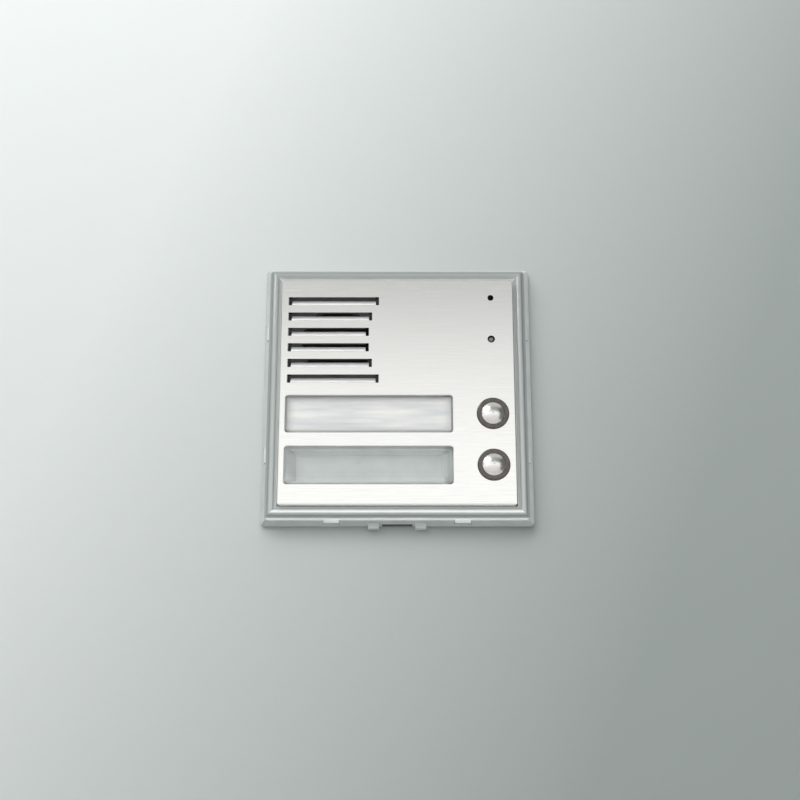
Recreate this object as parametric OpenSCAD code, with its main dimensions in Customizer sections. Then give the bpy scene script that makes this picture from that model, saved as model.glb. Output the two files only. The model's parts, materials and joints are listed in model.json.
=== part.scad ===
// Flush door intercom panel with two call buttons.
// X runs to the right, Z up, and the front looks along -Y. The wall's face is the plane Y = 0.

/* [Front plate] */
// Width of the metal front plate
plate_w = 100; // [97:0.5:112]
// Height of the metal front plate
plate_h = 100; // [99:0.5:112]
// Thickness of the front plate
plate_t = 1.6; // [1.5:0.1:2.6]
// Corner radius of the front plate
plate_corner = 1; // [0.6:0.1:2]
// Bevel round the plate's front edge
plate_chamfer = 0.3; // [0.1:0.05:0.5]
// Distance of the plate's front face from the wall
stand_out = 9; // [8.6:0.1:11]

/* [Speaker slots] */
// Number of speaker slots
slot_count = 6; // [4:1:6]
// Distance from one slot to the next
slot_pitch = 7.05; // [6:0.05:7.2]
// Height of one slot
slot_h = 3.7; // [3:0.1:4]
// Plate's left edge to the slots
slot_left = 3; // [2.6:0.1:6]
// Plate's top edge to the first slot
slot_top = 8; // [6:0.1:9]
// Length of a slot at the middle of the grille
slot_reach = 34.6; // [30:0.1:38]
// Radius of the arc on which the slots end
slot_arc = 37; // [30:1:60]
// Thickness of the louvre insert behind the plate
louvre_t = 1.9; // [1.8:0.1:2.6]
// Border of the louvre insert beyond the slots
louvre_border = 1.2; // [0.8:0.1:1.6]
// Open height above each vane
vane_gap = 0.6; // [0.5:0.1:1.5]
// Height of a vane's blunt front edge
vane_nose = 0.4; // [0.2:0.05:0.8]
// How far a vane's nose lies behind the plate's front face
vane_set = 0.4; // [0.2:0.1:1]
// Gap between a vane's end and the end of its slot
vane_end = 1.4; // [0.4:0.1:2]
// How far the insert's openings reach above the slots
louvre_rise = 1.2; // [0.6:0.1:1.6]

/* [Name windows] */
// Width of a name window
window_w = 71.4; // [60:0.1:73]
// Height of a name window
window_h = 16.8; // [15:0.1:18]
// Distance from the lower window to the upper one
window_pitch = 22.4; // [22:0.1:23]
// Plate's left edge to the windows
window_left = 2.3; // [2.2:0.1:5]
// Plate's bottom edge to the lower window
window_bottom = 8.6; // [7:0.1:9.4]
// Corner radius of a window
window_corner = 1.5; // [0.5:0.1:2.5]
// Gap between a lens and the plate
lens_gap = 0.3; // [0.2:0.05:0.5]
// How far a lens stands proud of the plate
lens_rise = 0.6; // [0.2:0.1:1.2]
// How far a lens's edge lies behind the plate's front face
lens_recess = 0.3; // [0.1:0.1:0.8]
// Width of the bevel round a lens
lens_bevel = 3.4; // [2:0.1:4]
// Height of the lip that holds a lens behind the plate
lens_lip = 1.4; // [0.8:0.1:1.6]
// Thickness of that lip
lens_lip_t = 0.9; // [0.8:0.1:1.4]
// Thickness of a name card
card_t = 0.3; // [0.2:0.05:0.35]
// Card's edge inside the window
card_margin = 1; // [0.8:0.1:2]
// Room for a card between lens and tray
card_slot = 0.4; // [0.4:0.05:0.6]
// Thickness of a card tray's rim
tray_rim_t = 1.2; // [0.8:0.1:1.4]
// Width of the flat border round a tray's dish
tray_border = 1.7; // [1.5:0.1:2.4]
// Depth of a tray's dish
tray_depth = 2.6; // [2.4:0.1:3.6]
// How far the dish's left and right sides lean inwards
tray_lean = 3.4; // [3.2:0.1:4.4]
// How far its upper and lower sides lean inwards
tray_tilt = 1.5; // [1:0.1:2.4]
// Wall of a tray's dish
tray_wall = 1; // [0.8:0.1:1.2]

/* [Call buttons] */
// Diameter of a button's domed cap
cap_d = 9.6; // [9:0.1:10.6]
// Width of the collar round the cap
collar_w = 2.1; // [1.6:0.1:2.4]
// Height of the collar over the plate
collar_t = 0.8; // [0.6:0.1:1.2]
// Wall of the collar's barrel in the plate
barrel_wall = 0.65; // [0.5:0.05:0.8]
// Height of the dome
dome_h = 1.6; // [1:0.1:2.4]
// Thickness of the cap's skirt
cap_wall = 0.9; // [0.7:0.05:1]
// Height of the cap's retaining flange
cap_flange_t = 0.8; // [0.6:0.1:1]
// How far the retaining flange reaches behind the collar
cap_flange_w = 0.5; // [0.4:0.05:0.6]
// Travel of a button
button_travel = 1.5; // [0.8:0.1:1.7]
// Plate's right edge to the buttons' centres
button_right = 9.5; // [9:0.1:13]
// Diameter of a plunger
plunger_d = 4; // [3:0.1:4.2]
// Wall of the boss that holds the plunger in the cap
plunger_boss = 0.8; // [0.6:0.1:0.9]
// Length of the plunger's guide behind the carrier
guide_len = 3.5; // [2:0.1:4]
// Wall of the plunger's guide
guide_wall = 1.4; // [1:0.1:1.8]
// Wire diameter of a return spring
spring_wire = 0.6; // [0.4:0.05:0.65]
// Turns of a return spring
spring_turns = 4; // [3:0.5:4.5]

/* [Microphone and lamp] */
// Diameter of the microphone hole
mic_hole_d = 2.6; // [1.6:0.1:3]
// Diameter of the microphone capsule
mic_d = 6; // [5:0.1:6.2]
// Depth of the microphone capsule
mic_t = 2.2; // [1.6:0.1:2.2]
// Wall of the microphone's rubber boot
boot_wall = 0.5; // [0.4:0.1:0.8]
// Plate's top edge to the microphone
mic_top = 8.3; // [8:0.1:10]
// Microphone to lamp
lamp_drop = 18.95; // [15:0.05:24]
// Diameter of the status lamp
lamp_d = 3; // [2.4:0.1:3.4]
// Plate's right edge to microphone and lamp
lamp_right = 9.6; // [9:0.1:13]
// Diameter of a lamp's or capsule's lead
lead_d = 0.6; // [0.4:0.1:0.7]
// Distance between a pair of leads
lead_pitch = 1.8; // [1.6:0.1:2]

/* [Bezel] */
// Gap between plate and bezel
bezel_gap = 0.35; // [0.3:0.05:0.8]
// Width of the bezel
bezel_w = 5.15; // [4.6:0.05:6]
// Radius of the bezel's rounded ridge
ridge_r = 1.4; // [1.1:0.1:1.6]
// Plate's front face to the ridge's crest
ridge_drop = 1.5; // [1:0.1:2]
// Plate's front face to the bezel's outer edge
edge_drop = 3.8; // [3.2:0.1:4.2]
// Corner radius of the bezel
bezel_corner = 1.5; // [0.8:0.1:3]
// Width of the channel under the bezel
channel_w = 1.8; // [1:0.1:2.2]
// Depth of that channel
channel_h = 1.6; // [0.8:0.1:2]
// Width of a snap tab
tab_w = 6.6; // [5:0.1:9]
// Side's middle to a snap tab
tab_place = 27.5; // [18:0.5:38]
// How far a tab reaches into the fixing frame
tab_reach = 1.3; // [1:0.1:1.4]
// How far a tab stands out from the bezel's side
tab_out = 1; // [0.5:0.1:1.3]

/* [Fixing frame] */
// Thickness of the fixing frame
frame_t = 3; // [2.8:0.1:3.4]
// How far the fixing frame flares out beyond the bezel
frame_flare = 2; // [1.6:0.1:3]
// Height of the flare's upright edge at the wall
frame_edge = 1.2; // [0.8:0.1:1.6]
// Corner radius of the fixing frame
frame_corner = 2; // [1:0.1:4]
// Diameter of the wall screws' holes
screw_hole_d = 3.8; // [3:0.1:4.4]
// Diameter of their countersinks
screw_sink_d = 6.4; // [5.5:0.1:7]
// Depth of their countersinks
screw_sink_h = 1.6; // [1:0.1:1.8]
// Plate's corner to the screw holes
screw_out = 1.5; // [1:0.1:2]
// Depth of the wall gasket
gasket_t = 1; // [0.8:0.1:1.2]
// Width of the wall gasket
gasket_w = 1.4; // [1:0.1:1.6]
// Frame's outer edge to the wall gasket
gasket_inset = 1.1; // [0.9:0.1:1.3]
// Width of the lever notch in the bottom edge
notch_w = 13; // [8:0.5:20]
// Depth of the lever notch
notch_t = 1.8; // [1.4:0.1:2.2]
// Length of the lever notch
notch_in = 5.5; // [4:0.1:6]
// Width of each lug beside the notch
lug_w = 4.6; // [3:0.1:6]
// Notch to lug
lug_gap = 1.1; // [0.6:0.1:2]
// Height of a lug below the frame
lug_h = 1.5; // [0.8:0.1:2]
// Depth of a lug along the wall's normal
lug_t = 2.2; // [1.6:0.1:2.6]

/* [Housing] */
// Plate's edge to the rear cover's side
housing_inset = 2.5; // [2.3:0.1:3]
// Depth of the rear cover behind the wall's face
housing_depth = 24; // [22:0.5:30]
// Wall of the rear cover
housing_wall = 1.8; // [1.4:0.1:2]
// Back wall of the rear cover
back_t = 2; // [1.5:0.1:2.6]
// Corner radius of the rear cover
housing_corner = 5; // [4:0.5:6]
// Height of the terminal step at the bottom
step_h = 20.5; // [19:0.5:21]
// Depth of the terminal step behind the wall's face
step_y = 14; // [13:0.1:16]
// Thickness of the seal between carrier and fixing frame
seal_t = 0.6; // [0.4:0.1:0.8]
// Thickness of the carrier's middle
core_t = 4.9; // [4.3:0.1:5]
// Length of the carrier's skirt
skirt_len = 6.6; // [4:0.1:7]
// Wall of the carrier's skirt
skirt_wall = 1.4; // [1:0.1:1.6]
// Width of a snap tongue in the cover's side
tongue_w = 8; // [6:0.1:10]
// Length of a snap tongue
tongue_len = 12; // [8:0.1:14]
// Middle of the side to a snap tongue
tongue_place = 20; // [14:0.5:28]
// How far a tongue's hook stands out
hook_out = 1.2; // [0.8:0.1:1.4]
// Number of vents behind the speaker
vent_count = 5; // [3:1:6]
// Width of a vent
vent_h = 1.6; // [1:0.1:2]
// Length of a vent
vent_w = 20; // [14:0.5:24]

/* [Speaker] */
// Diameter of the speaker
speaker_d = 36; // [32:0.5:40]
// Plate's left edge to the speaker's edge
speaker_left = 6.2; // [6.1:0.1:9]
// Thickness of the dust screen
screen_t = 0.3; // [0.2:0.05:0.4]
// Thickness of the speaker's foam gasket
foam_t = 1; // [0.9:0.1:1.4]
// Diameter of the speaker's yoke
yoke_d = 18; // [16:0.5:19]
// Wall of the yoke
yoke_wall = 1.6; // [1.2:0.1:2]
// Depth of the speaker
speaker_depth = 11.6; // [10.4:0.1:12.4]

/* [Electronics] */
// Board's front face behind the wall's face
board_y = 9; // [8.5:0.1:10]
// Thickness of the circuit board
board_t = 1.6; // [1:0.1:2]
// Board's edge inside the rear cover
board_gap = 2.1; // [1.9:0.1:3]
// Diameter of the long housing screws
long_screw_d = 2.4; // [2:0.1:2.8]
// Diameter of their heads
long_head_d = 5.6; // [4.6:0.1:5.8]
// Height of their heads
long_head_t = 1.8; // [1.4:0.1:2.2]
// Height of a switch body on the board
switch_h = 3.6; // [3.2:0.1:4]
// Width of a switch body
switch_w = 6.2; // [5:0.1:7]
// Diameter of a switch's actuator
actuator_d = 3.4; // [2.8:0.1:3.6]
// Number of terminals
terminal_count = 6; // [2:1:6]
// Distance between terminals
terminal_pitch = 5; // [4.6:0.02:5.08]
// Height of the terminal block over the board
terminal_h = 12.8; // [11:0.1:13]
// Width of the terminal block's section
terminal_w = 10.4; // [9:0.1:11]
// Width of a trimmer's body
trimmer_w = 9.6; // [9:0.1:11]
// Height of a trimmer's body
trimmer_h = 5; // [4.6:0.1:6]
// Diameter of a trimmer's shaft
shaft_d = 5; // [4:0.1:5.6]
// Distance between the two trimmers
trimmer_pitch = 16; // [13:0.5:18]
// Diameter of a capacitor
capacitor_d = 8; // [6:0.5:8]
// Height of a capacitor
capacitor_h = 8; // [7:0.5:10.5]

/* [Hidden] */
$fn = 64;

// Clearances of fixed pieces, of sliding pieces and of snug ones
fit = 0.2;
slide = 0.1;
snug = 0.05;

// How deep joined forms reach into one another, and the spare lengths that keep cuts clean
bite = 0.5;
over = 1;
far = 20;

// Depths, from the front to the back
y_front = -stand_out;
y_plate = y_front + plate_t;
y_frame = -frame_t;
y_seat = y_frame - seal_t;
y_core = y_plate + core_t;
y_skirt = y_seat + skirt_len;
y_louvre = y_plate + louvre_t;
y_lip = y_plate + lens_lip_t;
y_tray = y_lip + card_slot;
y_pocket = y_tray + tray_rim_t;
y_board = board_y + board_t;
y_back = housing_depth - back_t;

// Half sizes of the plate and of what lies round and behind it
half_w = plate_w / 2;
half_h = plate_h / 2;
bezel_out = bezel_gap + bezel_w;
frame_out = bezel_out + frame_flare;
frame_half_w = half_w + frame_out;
frame_half_h = half_h + frame_out;
housing_w = plate_w - 2 * housing_inset;
housing_h = plate_h - 2 * housing_inset;
opening_gap = 0.4;
skirt_w = housing_w - 2 * housing_wall - 2 * fit;
skirt_h = housing_h - 2 * housing_wall - 2 * fit;
skirt_corner = housing_corner - housing_wall - fit;
board_w = housing_w - 2 * housing_wall - 2 * board_gap;
board_h = housing_h - 2 * housing_wall - 2 * board_gap;

// Places on the plate
slot_x = slot_left - half_w;
function slot_z(i) = half_h - slot_top - i * slot_pitch;
grille_z = (slot_z(0) + slot_z(slot_count - 1) - slot_h) / 2;
function slot_end(i) =
  slot_x + slot_reach + slot_arc - sqrt(pow(slot_arc, 2) - pow(slot_z(i) - slot_h / 2 - grille_z, 2));
slot_far = max(slot_end(0), slot_end(slot_count - 1));
window_x = window_left + window_w / 2 - half_w;
lower_z = window_bottom + window_h / 2 - half_h;
upper_z = lower_z + window_pitch;
button_x = half_w - button_right;
lamp_x = half_w - lamp_right;
mic_z = half_h - mic_top;
lamp_z = mic_z - lamp_drop;
speaker_x = speaker_left + speaker_d / 2 - half_w;
speaker_z = grille_z;

// Long screws: in the top corner, beside the microphone, and beside the windows between the two trays
boss_r = 3.2;
tube_r = 3.5;
screw_inset = 4.3;
screw_beside = 4.8;
mic_r = mic_d / 2 + boot_wall;
mic_room = 5.2;
screw_left = screw_inset - skirt_w / 2;
screw_by_mic = lamp_x - mic_r - mic_room - boss_r;
screw_right = window_x + window_w / 2 + screw_beside;
screw_top = skirt_h / 2 - screw_inset;
screw_low = (upper_z + lower_z) / 2;
screw_places = [
  [screw_left, screw_top],
  [screw_by_mic, screw_top],
  [screw_left, screw_low],
  [screw_right, screw_low]
];

// Buttons
cap_r = cap_d / 2;
collar_bore = cap_r + slide;
barrel_r = collar_bore + barrel_wall;
collar_r = cap_r + collar_w;
cap_flange_r = cap_r + cap_flange_w;
y_cap_flange = y_plate + snug;
over_travel = 0.85;
y_button = y_cap_flange + cap_flange_t + button_travel + over_travel;
cap_sunk = 0.1;
y_dome = y_front - collar_t + cap_sunk;
dome_r = (pow(cap_r, 2) + pow(dome_h, 2)) / (2 * dome_h);
roof_t = 0.3;
y_roof = y_dome + roof_t;
plunger_r = plunger_d / 2;
plunger_boss_r = plunger_r + plunger_boss;
y_plunger = y_roof + fit;
y_guide = y_core + guide_len;
y_switch = board_y - switch_h;
switch_play = 0.5;
switch_floor = 0.3;
y_tip = y_switch - button_travel - switch_play;
y_tail = board_y - switch_floor - fit - button_travel;
spring_r = (plunger_boss_r + cap_r - cap_wall) / 2;
spring_rings = 8;
spring_sides = 6;

// Speaker, from its flange's front face backwards
speaker_r = speaker_d / 2;
y_speaker = y_core + screen_t + foam_t;
speaker_rim = 2.5;
sound_r = speaker_r - speaker_rim;
screen_in = 0.4;
screen_r = speaker_r - screen_in;
flange_t = 1;
yoke_r = yoke_d / 2;
basket_t = 0.9;
basket_end = 6.8;
basket_neck = 4.4;
basket_hole = 6;
hole_edge = 1.4;
yoke_front = 4.6;
cone_t = 0.4;
cone_seat = 0.4;
cone_edge = 1;
coil_gap = 0.4;
coil_r = yoke_r - yoke_wall - coil_gap;
coil_t = 0.5;
coil_front = 3.4;
coil_back = 8.2;
pole_gap = 0.3;
pole_r = coil_r - coil_t - pole_gap;
pole_front = 5.2;
pole_t = 1.4;
magnet_r = pole_r - 2 * fit;
roll_w = 2.4;
roll_out = sound_r - fit;
roll_in = roll_out - roll_w;
roll_h = 0.8;
cap_sag = 1.4;

// Electronics
board_corner = 2;
yoke_room = 1;
terminal_x = -8;
terminal_in = 2;
terminal_z = -half_h + housing_inset + step_h - terminal_w / 2 - terminal_in;
trimmer_x = 14;
trimmer_drop = 8;
trimmer_top = screw_top - trimmer_drop;
capacitor_places = [[-1, 6], [11, 5]];
step_z = step_h - housing_h / 2;

// Basic forms

// A drawing in X and Z, made solid between two depths
module slab(y0, y1) {
  translate([0, y1, 0]) rotate([90, 0, 0]) linear_extrude(y1 - y0) children();
}

// A [radius, depth] profile turned about a line along Y
module turned(x, z) {
  translate([x, 0, z]) rotate([-90, 0, 0]) rotate_extrude() children();
}

// A [depth, height] profile drawn out along X
module strip(x0, x1) {
  translate([x0, 0, 0]) rotate([90, 0, 90]) linear_extrude(x1 - x0) children();
}

// An [x, depth] profile drawn out along Z
module upright(z0, z1) {
  translate([0, 0, z0]) linear_extrude(z1 - z0) children();
}

module rod(x, z, r, y0, y1) {
  translate([x, y0, z]) rotate([-90, 0, 0]) cylinder(r = r, h = y1 - y0);
}

module block(x0, x1, y0, y1, z0, z1) {
  translate([x0, y0, z0]) cube([x1 - x0, y1 - y0, z1 - z0]);
}

module rounded(w, h, r) {
  square([w - 2 * r, h], center = true);
  square([w, h - 2 * r], center = true);
  for (sx = [-1, 1], sz = [-1, 1])
    translate([sx * (w / 2 - r), sz * (h / 2 - r)]) circle(r);
}

module ring(w, h, r, t) {
  difference() {
    rounded(w, h, r);
    rounded(w - 2 * t, h - 2 * t, max(r - t, 0.2));
  }
}

// Copies a piece made for the right-hand side onto all four sides
module four_sides() {
  children(0);
  mirror([1, 0, 0]) children(0);
  rotate([0, -90, 0]) children(1);
  rotate([0, 90, 0]) children(1);
}

// One side of a mitred frame: a profile of [distance out from the plate's edge, depth]
module mitred_side(out, along) {
  intersection() {
    upright(-along - far, along + far) translate([out, 0]) children();
    slab(-far, far)
      polygon([
        [out - far, along - far],
        [out + far, along + far],
        [out + far, -along - far],
        [out - far, far - along]
      ]);
  }
}

module mitred_frame() {
  four_sides() {
    mitred_side(half_w, half_h) children();
    mitred_side(half_h, half_w) children();
  }
}

// Snap tabs: a profile of [distance out from the plate's edge, depth], at two places on every side
module tab_pair(out, w) {
  for (s = [-1, 1])
    translate([out, 0, s * tab_place]) upright(-w / 2, w / 2) children();
}

module tabs(w) {
  four_sides() {
    tab_pair(half_w, w) children();
    tab_pair(half_h, w) children();
  }
}

// Fixing frame and seals

module flare_cut() {
  polygon([
    [bezel_out + fit, y_frame - over],
    [frame_out + over, y_frame - over],
    [frame_out + over, -frame_edge],
    [frame_out, -frame_edge],
    [bezel_out + fit, y_frame]
  ]);
}

tab_inset = 0.8;
tab_in = bezel_out - tab_inset;
y_tab = y_frame + tab_reach;

module tab_slot() {
  polygon([
    [tab_in - fit, y_frame - over],
    [frame_out + over, y_frame - over],
    [frame_out + over, y_tab + fit],
    [tab_in - fit, y_tab + fit]
  ]);
}

module lever_notch() {
  block(-notch_w / 2, notch_w / 2, -notch_t, over, -frame_half_h - over, notch_in - frame_half_h);
}

lug_bevel = 0.4;

module lug(x) {
  strip(x - lug_w / 2, x + lug_w / 2)
    polygon([
      [0, frame_flare - frame_half_h],
      [-lug_t, frame_flare - frame_half_h],
      [-lug_t, lug_bevel - lug_h - frame_half_h],
      [lug_bevel - lug_t, -lug_h - frame_half_h],
      [0, -lug_h - frame_half_h]
    ]);
}

module wall_screw_holes() {
  for (sx = [-1, 1], sz = [-1, 1]) {
    x = sx * (half_w + screw_out);
    z = sz * (half_h + screw_out);
    rod(x, z, screw_hole_d / 2, y_frame - over, over);
    translate([x, y_frame, z]) rotate([-90, 0, 0])
      cylinder(r1 = screw_sink_d / 2, r2 = screw_hole_d / 2, h = screw_sink_h);
  }
}

// Pockets in the frame's opening, where the cover's hooks catch
hook_set = 1.4;
hook_y = y_frame + hook_set;

module hook_pockets() {
  reach = housing_w / 2 + hook_out + 2 * fit;
  w = tongue_w / 2 + fit;
  for (s = [-1, 1])
    block(-reach, reach, hook_y, over, s * tongue_place - w, s * tongue_place + w);
}

module fixing_frame() {
  color("lightgray") difference() {
    union() {
      difference() {
        slab(y_frame, 0) difference() {
          rounded(2 * frame_half_w, 2 * frame_half_h, frame_corner);
          rounded(housing_w + 2 * opening_gap, housing_h + 2 * opening_gap, housing_corner);
        }
        mitred_frame() flare_cut();
      }
      for (s = [-1, 1])
        lug(s * (notch_w / 2 + lug_gap + lug_w / 2));
    }
    tabs(tab_w + 2 * fit) tab_slot();
    slab(-gasket_t, over)
      ring(2 * (frame_half_w - gasket_inset + slide), 2 * (frame_half_h - gasket_inset + slide),
           frame_corner, gasket_w + 2 * slide);
    wall_screw_holes();
    hook_pockets();
    lever_notch();
  }
}

// The gasket's tongue closes the lever notch
module wall_gasket() {
  tongue = notch_w / 2 - fit;
  color("dimgray") {
    slab(-gasket_t, 0)
      ring(2 * (frame_half_w - gasket_inset), 2 * (frame_half_h - gasket_inset), frame_corner, gasket_w);
    block(-tongue, tongue, -gasket_t, 0, fit - frame_half_h, gasket_inset + gasket_w - frame_half_h);
  }
}

module module_seal() {
  edge = 2 * fit;
  color("dimgray") slab(y_seat, y_frame)
    ring(plate_w - 2 * edge, plate_h - 2 * edge, plate_corner, housing_inset - opening_gap - fit - edge);
}

// Bezel: a groove beside the plate, a rounded ridge, and a slope down to the outer edge
ridge_in = 2.55;
ridge_at = bezel_gap + ridge_in;
groove_drop = 0.9;
slope_drop = 0.9;
channel_at = bezel_gap + (bezel_w - channel_w) / 2;

module bezel_profile() {
  difference() {
    union() {
      polygon([
        [bezel_gap, y_frame],
        [bezel_gap, y_front + ridge_drop + groove_drop],
        [ridge_at, y_front + ridge_drop + slope_drop],
        [bezel_out, y_front + edge_drop],
        [bezel_out, y_frame]
      ]);
      translate([ridge_at, y_front + ridge_drop + ridge_r]) circle(ridge_r);
    }
    translate([channel_at, y_frame - channel_h]) square([channel_w, channel_h + over]);
  }
}

tab_rise = 1.2;
tab_bevel = 0.2;

module tab_profile() {
  polygon([
    [tab_in, y_frame - tab_rise],
    [bezel_out - slide, y_frame - tab_rise],
    [bezel_out + tab_out, y_frame - slide],
    [bezel_out + tab_out, y_tab - tab_bevel],
    [bezel_out + tab_out - tab_bevel, y_tab],
    [tab_in, y_tab]
  ]);
}

module bezel() {
  color("darkgray") {
    intersection() {
      mitred_frame() bezel_profile();
      slab(y_front - over, over) rounded(plate_w + 2 * bezel_out, plate_h + 2 * bezel_out, bezel_corner);
    }
    tabs(tab_w) tab_profile();
  }
}

// Front plate and what shows in it

module plate_bevel() {
  polygon([
    [-plate_chamfer, y_front],
    [-plate_chamfer, y_front - over],
    [over, y_front - over],
    [over, y_front + plate_chamfer],
    [0, y_front + plate_chamfer]
  ]);
}

module slots(rise = 0) {
  for (i = [0 : slot_count - 1])
    translate([slot_x, slot_z(i) - slot_h]) square([slot_end(i) - slot_x, slot_h + rise]);
}

module front_plate() {
  color("silver") difference() {
    slab(y_front, y_plate) difference() {
      rounded(plate_w, plate_h, plate_corner);
      slots();
      for (z = [upper_z, lower_z]) {
        translate([window_x, z]) rounded(window_w, window_h, window_corner);
        translate([button_x, z]) circle(barrel_r + snug);
      }
      translate([lamp_x, mic_z]) circle(mic_hole_d / 2);
      translate([lamp_x, lamp_z]) circle(lamp_d / 2 + slide);
    }
    mitred_frame() plate_bevel();
  }
}

louvre_x0 = slot_x - louvre_border;
louvre_x1 = slot_far + louvre_border;
louvre_z0 = slot_z(slot_count - 1) - slot_h - louvre_border;
louvre_z1 = slot_z(0) + louvre_rise + louvre_border;

// A vane rises towards the back, so that rain runs out of the slot
module vane(i) {
  z0 = slot_z(i) - slot_h;
  strip(slot_x + vane_end, slot_end(i) - vane_end)
    polygon([
      [y_front + vane_set, z0 + fit],
      [y_front + vane_set, z0 + fit + vane_nose],
      [y_louvre, slot_z(i) - vane_gap],
      [y_louvre, z0 - fit],
      [y_plate, z0 - fit],
      [y_plate, z0 + fit]
    ]);
}

module louvre_grille() {
  color("gainsboro") {
    difference() {
      block(louvre_x0, louvre_x1, y_plate, y_louvre, louvre_z0, louvre_z1);
      slab(y_plate - over, y_louvre + over) slots(louvre_rise);
    }
    for (i = [0 : slot_count - 1])
      vane(i);
  }
}

// Name windows

card_corner = 0.5;
lens_w = window_w - 2 * lens_gap;
lens_h = window_h - 2 * lens_gap;

// Section of a lens across a size: low at its edge, bevelled up to a flat middle
module lens_section(size) {
  polygon([
    [-size / 2, y_plate + over],
    [-size / 2, y_front + lens_recess],
    [lens_bevel - size / 2, y_front - lens_rise],
    [size / 2 - lens_bevel, y_front - lens_rise],
    [size / 2, y_front + lens_recess],
    [size / 2, y_plate + over]
  ]);
}

module name_window(z) {
  color("whitesmoke", 0.5) translate([window_x, 0, z]) {
    intersection() {
      slab(y_front - far, y_plate) rounded(lens_w, lens_h, window_corner);
      upright(-lens_h, lens_h) lens_section(lens_w);
      strip(-lens_w, lens_w) mirror([1, -1]) lens_section(lens_h);
    }
    block(-lens_w / 2, lens_w / 2, y_plate, y_lip, -lens_h / 2 - lens_lip, lens_h / 2 + lens_lip);
  }
}

module name_card(z) {
  color("white") translate([window_x, 0, z])
    slab(y_lip + snug, y_lip + snug + card_t)
      rounded(window_w - 2 * card_margin, window_h - 2 * card_margin, card_corner);
}

// Half size at a depth of a form whose sides lean inwards from its size at the tray's front
function leaning(size, lean, y) = size - lean / tray_depth * (y - y_tray);

// A dish with leaning sides between two depths, cut where two sections cross
module dish(w, h, front, back) {
  intersection() {
    upright(-window_h, window_h)
      polygon([
        [-leaning(w, tray_lean, front), front],
        [leaning(w, tray_lean, front), front],
        [leaning(w, tray_lean, back), back],
        [-leaning(w, tray_lean, back), back]
      ]);
    strip(-window_w, window_w)
      polygon([
        [front, -leaning(h, tray_tilt, front)],
        [front, leaning(h, tray_tilt, front)],
        [back, leaning(h, tray_tilt, back)],
        [back, -leaning(h, tray_tilt, back)]
      ]);
  }
}

dish_w = window_w / 2 - tray_border;
dish_h = window_h / 2 - tray_border;
tray_back = tray_depth + tray_wall;

module card_tray(z) {
  color("lightcyan") translate([window_x, 0, z]) difference() {
    union() {
      block(-lens_w / 2, lens_w / 2, y_tray, y_pocket, -lens_h / 2 - lens_lip, lens_h / 2 + lens_lip);
      dish(dish_w + tray_wall, dish_h + tray_wall, y_tray, y_tray + tray_back);
    }
    dish(dish_w, dish_h, y_tray - over, y_tray + tray_depth);
  }
}

// Call buttons

module button_collar(z) {
  color("dimgray") turned(button_x, z)
    polygon([
      [collar_bore, y_plate],
      [barrel_r, y_plate],
      [barrel_r, y_front],
      [collar_r, y_front],
      [collar_r, y_front - collar_t / 3],
      [collar_r - collar_t / 2, y_front - collar_t],
      [collar_bore, y_front - collar_t]
    ]);
}

module button_cap(z) {
  color("silver") turned(button_x, z) difference() {
    union() {
      intersection() {
        translate([0, y_dome - dome_h + dome_r]) circle(dome_r, $fn = 128);
        translate([0, y_dome - dome_h - over]) square([cap_r, dome_h + over]);
      }
      translate([0, y_dome]) square([cap_r, y_cap_flange + cap_flange_t - y_dome]);
      translate([0, y_cap_flange]) square([cap_flange_r, cap_flange_t]);
    }
    translate([plunger_boss_r, y_roof]) square([cap_r - cap_wall - plunger_boss_r, far]);
    translate([0, y_plunger]) square([plunger_r + snug, far]);
  }
}

module button_plunger(z) {
  color("ivory") rod(button_x, z, plunger_r, y_plunger, y_tip);
}

spring_start = y_roof + snug + spring_wire / 2;
spring_rise = y_button - snug - spring_wire / 2 - spring_start;
spring_last = spring_turns * spring_rings;

function spring_point(i) = [
  spring_r * cos(360 * i / spring_rings),
  spring_start + spring_rise * i / spring_last,
  spring_r * sin(360 * i / spring_rings)
];

function spring_tangent(i) = [
  -spring_r * sin(360 * i / spring_rings) * 2 * PI,
  spring_rise / spring_turns,
  spring_r * cos(360 * i / spring_rings) * 2 * PI
];

function spring_vertex(i, k) =
  let (
    a = 360 * k / spring_sides,
    out = [cos(360 * i / spring_rings), 0, sin(360 * i / spring_rings)],
    tangent = spring_tangent(i) / norm(spring_tangent(i)),
    up = cross(out, tangent)
  ) spring_point(i) + spring_wire / 2 * (cos(a) * out + sin(a) * up);

// Distance between turns, measured on points of the wire that are most of a turn apart
spring_gap = min([
  for (i = [0 : spring_last], j = [i + spring_rings - 2 : 1 : spring_last])
    norm(spring_point(i) - spring_point(j)) - spring_wire
]);
echo(str("Least gap between spring turns: ", spring_gap, " mm"));

module button_spring(z) {
  points = [
    for (i = [0 : spring_last], k = [0 : spring_sides - 1]) spring_vertex(i, k)
  ];
  sides = [
    for (i = [0 : spring_last - 1], k = [0 : spring_sides - 1])
      let (a = i * spring_sides, b = a + spring_sides, n = (k + 1) % spring_sides)
        each [[a + k, a + n, b + n], [a + k, b + n, b + k]]
  ];
  first = [for (k = [1 : spring_sides - 2]) [0, k + 1, k]];
  end = spring_last * spring_sides;
  last = [for (k = [1 : spring_sides - 2]) [end, end + k, end + k + 1]];
  color("gray") translate([button_x, 0, z]) polyhedron(points, concat(sides, first, last));
}

module switch_body(z) {
  w = switch_w / 2;
  color("black") difference() {
    block(button_x - w, button_x + w, y_switch, board_y, z - w, z + w);
    rod(button_x, z, actuator_d / 2 + slide + snug, y_switch - over, board_y - switch_floor);
  }
}

module switch_actuator(z) {
  color("firebrick") rod(button_x, z, actuator_d / 2, y_tip, y_tail);
}

// Carrier

module louvre_pocket() {
  block(louvre_x0 - fit, louvre_x1 + fit, y_plate - over, y_louvre, louvre_z0 - fit, louvre_z1 + fit);
}

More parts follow.
